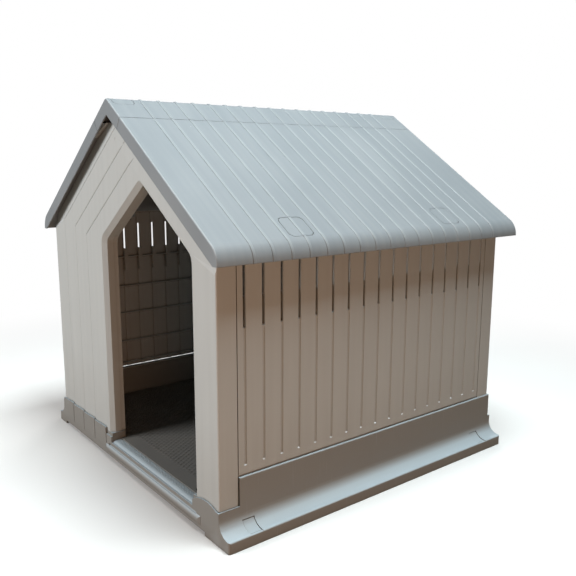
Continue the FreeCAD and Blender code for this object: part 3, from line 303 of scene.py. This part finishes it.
def base_polypropylene():
    """The roof's blue-grey polypropylene, scuffed along the lip and splashed near the ground, with a painted
    pale top light on upward faces and painted shade in the crevices.
    """
    material, tree, shader, place = new_material("base_polypropylene")
    rounded = moulded_skin(tree, shader, place, grain_size=1.6 * MM, grain_depth=0.06 * MM,
                           edge_round=1.2 * MM)
    patch_size, crevice, scratch_length, scratch_width = 160 * MM, 8 * MM, 90 * MM, 2 * MM
    patch = add(tree, "ShaderNodeTexNoise", {"Vector": place, "Scale": 1 / patch_size, "Detail": 6.0,
                                             "Roughness": 0.62})
    clean = add(tree, "ShaderNodeMix", {SHARE: patch.outputs["Fac"], UNDER: "85847F", OVER: "8D8C88"},
                data_type="RGBA").outputs[MIXED]
    # Painted top light: faces that point upwards, such as the cove, are painted a pale blue.
    facing = add(tree, "ShaderNodeNewGeometry").outputs["Normal"]
    upward = add(tree, "ShaderNodeSeparateXYZ", {0: facing}).outputs["Z"]
    level = add(tree, "ShaderNodeMapRange", {"Value": upward, "From Min": 0.15, "From Max": 0.75,
                                             "To Min": 0.0, "To Max": 0.9})
    body = add(tree, "ShaderNodeMix", {SHARE: level.outputs["Result"], UNDER: clean, OVER: "B6C6CE"},
               data_type="RGBA").outputs[MIXED]
    height = add(tree, "ShaderNodeSeparateXYZ", {0: place}).outputs["Z"]
    low = add(tree, "ShaderNodeMapRange",
              {"Value": height, "From Min": 0.0, "From Max": 0.03,
               "To Min": 0.55, "To Max": 0.0})
    splash = add(tree, "ShaderNodeMath", {0: low.outputs["Result"], 1: patch.outputs["Fac"]},
                 operation="MULTIPLY")
    splashed = add(tree, "ShaderNodeMix", {SHARE: splash.outputs[0], UNDER: body, OVER: "6C655B"},
                   data_type="RGBA").outputs[MIXED]
    # Painted shade: dark colour mixed in where ambient occlusion finds crevices and gaps between parts.
    corner = add(tree, "ShaderNodeAmbientOcclusion", {"Distance": crevice}, samples=4)
    shade = add(tree, "ShaderNodeMapRange",
                {"Value": corner.outputs["AO"], "From Min": 0.3, "From Max": 0.9,
                 "To Min": 0.5, "To Max": 0.0})
    with_painted_light = add(tree, "ShaderNodeMix", {SHARE: shade.outputs["Result"], UNDER: splashed, OVER: "55524C"},
                 data_type="RGBA").outputs[MIXED]
    scratches = add(tree, "ShaderNodeMapping", {
        "Vector": place, "Rotation": (0.3, 0.2, 0.6),
        "Scale": (1 / scratch_length, 1 / scratch_width, 1 / scratch_length)})
    scratch = add(tree, "ShaderNodeTexNoise",
                  {"Vector": scratches.outputs["Vector"], "Scale": 1.0, "Detail": 2.0})
    fine = add(tree, "ShaderNodeMapRange",
               {"Value": scratch.outputs["Fac"], "From Min": 0.66, "From Max": 0.74,
                "To Min": 0.0, "To Max": 0.22})
    scratched = add(tree, "ShaderNodeMix", {SHARE: fine.outputs["Result"], UNDER: with_painted_light, OVER: "A9AFB1"},
                    data_type="RGBA").outputs[MIXED]
    worn = worn_edge(tree, rounded, strength=0.4)
    finished = add(tree, "ShaderNodeMix", {SHARE: worn, UNDER: scratched, OVER: "A9AFB1"},
                   data_type="RGBA").outputs[MIXED]
    tree.links.new(finished, shader.inputs["Base Color"])
    rough = add(tree, "ShaderNodeMapRange",
                {"Value": patch.outputs["Fac"], "From Min": 0.3, "From Max": 0.7,
                 "To Min": 0.48, "To Max": 0.62})
    tree.links.new(rough.outputs["Result"], shader.inputs["Roughness"])
    shader.inputs["IOR"].default_value = PLASTIC_IOR
    return material


def floor_polypropylene():
    """Mid-grey polypropylene with a coarse anti-slip grain, dulled by bedding dust."""
    material, tree, shader, place = new_material("floor_polypropylene")
    rounded = moulded_skin(tree, shader, place, grain_size=2.5 * MM, grain_depth=0.12 * MM,
                           edge_round=0.8 * MM)
    patch_size = 90 * MM
    patch = add(tree, "ShaderNodeTexNoise", {"Vector": place, "Scale": 1 / patch_size, "Detail": 6.0,
                                             "Roughness": 0.65})
    body = add(tree, "ShaderNodeMix", {SHARE: patch.outputs["Fac"], UNDER: "6F7273", OVER: "85837C"},
               data_type="RGBA").outputs[MIXED]
    worn = worn_edge(tree, rounded, strength=0.5)
    finished = add(tree, "ShaderNodeMix", {SHARE: worn, UNDER: body, OVER: "9A9B98"},
                   data_type="RGBA").outputs[MIXED]
    tree.links.new(finished, shader.inputs["Base Color"])
    rough = add(tree, "ShaderNodeMapRange",
                {"Value": patch.outputs["Fac"], "From Min": 0.3, "From Max": 0.7,
                 "To Min": 0.6, "To Max": 0.78})
    tree.links.new(rough.outputs["Result"], shader.inputs["Roughness"])
    shader.inputs["IOR"].default_value = PLASTIC_IOR
    return material


def zinc_plated_steel():
    """Bright zinc plate over the steel pins and screws: fine drawn lines, soft grey gleam."""
    material, tree, shader, place = new_material("zinc_plated_steel")
    line_width, line_length = 0.4 * MM, 6 * MM
    drawn = add(tree, "ShaderNodeMapping", {
        "Vector": place, "Scale": (1 / line_width, 1 / line_length, 1 / line_width)})
    line = add(tree, "ShaderNodeTexNoise",
               {"Vector": drawn.outputs["Vector"], "Scale": 1.0, "Detail": 2.0})
    finished = add(tree, "ShaderNodeMix", {SHARE: line.outputs["Fac"], UNDER: "B4B6B8", OVER: "CACBCA"},
                   data_type="RGBA").outputs[MIXED]
    tree.links.new(finished, shader.inputs["Base Color"])
    rough = add(tree, "ShaderNodeMapRange",
                {"Value": line.outputs["Fac"], "From Min": 0.3, "From Max": 0.7,
                 "To Min": 0.28, "To Max": 0.42})
    tree.links.new(rough.outputs["Result"], shader.inputs["Roughness"])
    shader.inputs["Metallic"].default_value = 1.0
    return material


def studio_paper():
    """Pale matt paper that turns into the white surround, and throws back only a little warm light."""
    material, tree, shader, place = new_material("studio_paper")
    cloud_size = 0.4
    fibre = add(tree, "ShaderNodeTexNoise", {"Vector": place, "Scale": 1 / cloud_size, "Detail": 3.0})
    seen = add(tree, "ShaderNodeLightPath").outputs["Is Camera Ray"]
    pale = add(tree, "ShaderNodeMix", {SHARE: fibre.outputs["Fac"], UNDER: "E9E9E7", OVER: "EDEDEB"},
               data_type="RGBA").outputs[MIXED]
    finished = add(tree, "ShaderNodeMix", {SHARE: seen, UNDER: "8F8378", OVER: pale},
                   data_type="RGBA").outputs[MIXED]
    tree.links.new(finished, shader.inputs["Base Color"])
    shader.inputs["Roughness"].default_value = 0.9
    shader.inputs["Specular IOR Level"].default_value = 0.1
    reach = add(tree, "ShaderNodeVectorMath", {0: place}, operation="LENGTH").outputs["Value"]
    far = add(tree, "ShaderNodeMapRange",
              {"Value": reach, "From Min": PAPER_FADE[0], "From Max": PAPER_FADE[1]},
              interpolation_type="SMOOTHSTEP")
    share = add(tree, "ShaderNodeMath", {0: far.outputs["Result"], 1: seen}, operation="MULTIPLY")
    white = add(tree, "ShaderNodeEmission", {"Color": "FFFFFF", "Strength": 1.0})
    faded = add(tree, "ShaderNodeMixShader",
                {0: share.outputs[0], 1: shader.outputs[0], 2: white.outputs[0]})
    tree.links.new(faded.outputs[0], tree.nodes["Material Output"].inputs["Surface"])
    return material


# ---------------------------------------------------------------- moulded grip patterns
def select_faces(piece, wanted):
    """Selects only the faces that pass the test, and leaves the piece in edit mode."""
    bpy.ops.object.mode_set(mode="EDIT")
    bpy.ops.mesh.select_mode(type="FACE")
    bpy.ops.mesh.select_all(action="DESELECT")
    bpy.ops.object.mode_set(mode="OBJECT")
    for face in piece.data.polygons:
        face.select = wanted(face)
    bpy.ops.object.mode_set(mode="EDIT")


def lozenges(name, low, high, level, size, height, pitch):
    """Staggered rows of raised lozenges, with bevelled shoulders, that fill a rectangle of a moulded face."""
    long_side = max(size) / 2
    bpy.ops.object.select_all(action="DESELECT")
    bpy.ops.mesh.primitive_cone_add(vertices=4, radius1=long_side, radius2=long_side * GRIP_TAPER,
                                    depth=height + GRIP_ROOT, location=(0, 0, 0))
    piece = bpy.context.object
    piece.name = name
    bpy.ops.object.mode_set(mode="EDIT")
    bpy.ops.mesh.select_all(action="SELECT")
    bpy.ops.transform.resize(value=(size[0] / 2 / long_side, size[1] / 2 / long_side, 1.0))
    upright = 0.9
    select_faces(piece, lambda face: face.normal.z > upright)
    bpy.ops.mesh.bevel(offset=height * GRIP_SHOULDER, segments=1, affect="EDGES")
    bpy.ops.mesh.select_all(action="SELECT")
    bpy.ops.transform.translate(value=(low[0] + size[0] / 2, low[1] + size[1] / 2,
                                       level + (height - GRIP_ROOT) / 2))
    bpy.ops.mesh.duplicate()
    bpy.ops.transform.translate(value=(pitch[0] / 2, pitch[1] / 2, 0.0))
    bpy.ops.object.mode_set(mode="OBJECT")
    for axis in (0, 1):
        room = high[axis] - low[axis] - size[axis] - pitch[axis] / 2
        rows = piece.modifiers.new("rows", "ARRAY")
        rows.count = 1 + int(room / pitch[axis])
        rows.use_relative_offset = False
        rows.use_constant_offset = True
        step = [0.0, 0.0, 0.0]
        step[axis] = pitch[axis]
        rows.constant_offset_displace = step
        bpy.ops.object.modifier_apply(modifier=rows.name)
    return piece


def floor_grip():
    """Anti-slip lozenges over the lift-out floor, inside its plain border."""
    low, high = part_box("floor_panel")
    start = (low[0] + FLOOR_BORDER, low[1] + FLOOR_TONGUE + FLOOR_BORDER)
    end = (high[0] - FLOOR_BORDER, high[1] - FLOOR_BORDER)
    return lozenges("floor_grip", start, end, level=high[2], size=(6.5 * MM, 14 * MM), height=0.8 * MM,
                    pitch=(12 * MM, 20 * MM))


def sill_grip():
    """Fine lozenges along the flat of the step in the doorway."""
    return lozenges("sill_grip", SILL_LOW, SILL_HIGH, level=SILL_LEVEL, size=(5 * MM, 2.4 * MM),
                    height=0.35 * MM, pitch=(7 * MM, 3.6 * MM))


def dress(names, material):
    """Gives CAD nodes their finish."""
    for name in names:
        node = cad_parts[name]
        node.data.materials.clear()
        node.data.materials.append(material)


# ---------------------------------------------------------------- studio
def camera():
    """Three-quarter view from the front right, from a little below the ridge."""
    data = bpy.data.cameras.new("camera")
    data.lens = LENS
    data.sensor_width = SENSOR
    data.dof.use_dof = False
    eye = bpy.data.objects.new("camera", data)
    turn = Matrix.Rotation(math.radians(EYE_TURN), 4, "Z")
    tilt = Matrix.Rotation(math.radians(90 - EYE_DOWN), 4, "X")
    roll = Matrix.Rotation(math.radians(EYE_ROLL), 4, "Z")
    eye.matrix_world = Matrix.Translation(EYE) @ turn @ tilt @ roll
    bpy.context.scene.collection.objects.link(eye)
    bpy.context.scene.camera = eye


def softbox(name, place, aim, size, power, tint):
    """Square soft light that faces a point."""
    data = bpy.data.lights.new(name, "AREA")
    data.shape = "SQUARE"
    data.size = size
    data.energy = power
    data.color = tint
    lamp = bpy.data.objects.new(name, data)
    lamp.location = place
    lamp.rotation_euler = (Vector(aim) - Vector(place)).to_track_quat("-Z", "Y").to_euler()
    lamp.visible_camera = False
    bpy.context.scene.collection.objects.link(lamp)


def studio():
    """Cool panel overhead, neutral key from the front, weak warm fill low on the right, a soft panel behind
    for the far sides, and a white surround."""
    for lamp in LAMPS:
        softbox(*lamp)
    world = bpy.data.worlds.new("surround")
    world.use_nodes = True
    tree = world.node_tree
    backdrop = tree.nodes["Background"]
    backdrop.inputs["Color"].default_value = colour("FFFFFF")
    backdrop.inputs["Strength"].default_value = 1.0
    dim = add(tree, "ShaderNodeBackground", {"Color": "FFFFFF", "Strength": AMBIENT})
    seen = add(tree, "ShaderNodeLightPath").outputs["Is Camera Ray"]
    mixed = add(tree, "ShaderNodeMixShader", {0: seen, 1: dim.outputs[0], 2: backdrop.outputs[0]})
    tree.links.new(mixed.outputs[0], tree.nodes["World Output"].inputs["Surface"])
    bpy.context.scene.world = world
    bpy.context.scene.view_settings.view_transform = "Standard"
    bpy.ops.object.select_all(action="DESELECT")
    bpy.ops.mesh.primitive_circle_add(vertices=PAPER_SIDES, radius=PAPER_RADIUS, fill_type="NGON",
                                      location=(0, 0, 0))
    ground = bpy.context.object
    ground.name = "studio_floor"
    ground.data.materials.append(studio_paper())


# ---------------------------------------------------------------- making
camera()
studio()
base_skin = base_polypropylene()
floor_skin = floor_polypropylene()
dress(ROOF_NODES, roof_polypropylene())
dress(WALL_NODES, wall_polypropylene())
dress(BASE_NODES, base_skin)
dress(FLOOR_NODES, floor_skin)
dress(STEEL_NODES, zinc_plated_steel())
for piece, slot, skin in ((floor_grip(), "floor_plastic", floor_skin),
                          (sill_grip(), "base_plastic", base_skin)):
    piece.data.materials.append(skin)
    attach(piece, "house")
